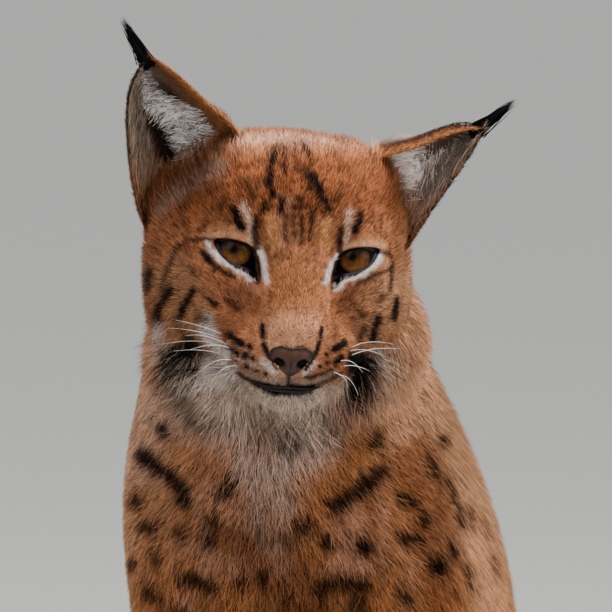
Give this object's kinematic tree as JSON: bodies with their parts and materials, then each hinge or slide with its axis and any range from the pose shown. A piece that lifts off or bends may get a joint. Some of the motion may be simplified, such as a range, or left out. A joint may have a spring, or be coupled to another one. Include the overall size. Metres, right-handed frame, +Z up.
{
  "type": "eurasian lynx",
  "caption": "Life-size seated lynx with its head turned to the front, parted into head, ears, eyes, nose, neck, torso, legs and tail.",
  "frame": {"origin": "on the floor, below the middle of the model's overall box", "axes": "+Z up, -Y to the front of the seated body, +X to the animal's left"},
  "size_m": [0.3056, 0.633, 0.8573],
  "materials": {
    "coat_head": "short rufous fur with dark streaks, white round the eyes and mouth",
    "coat_ears": "short fur, black rims and tufts, pale hair inside",
    "coat_neck": "longer buff and white fur with dark spots",
    "coat_body": "rufous fur with dark spots",
    "coat_legs": "buff and rufous fur with small dark spots",
    "coat_tail": "rufous fur with a black end",
    "nose_leather": "bare, finely pebbled, slightly damp",
    "eye": "wet, clear over an amber-brown iris"
  },
  "bodies": {
    "root": {"head": "coat_head", "nose": "nose_leather", "ear_left": "coat_ears", "ear_right": "coat_ears", "neck": "coat_neck", "torso": "coat_body", "foreleg_left": "coat_legs", "foreleg_right": "coat_legs", "hindleg_left": "coat_legs", "hindleg_right": "coat_legs", "tail": "coat_tail", "eye_left": "eye", "eye_right": "eye"}
  },
  "joints": []
}
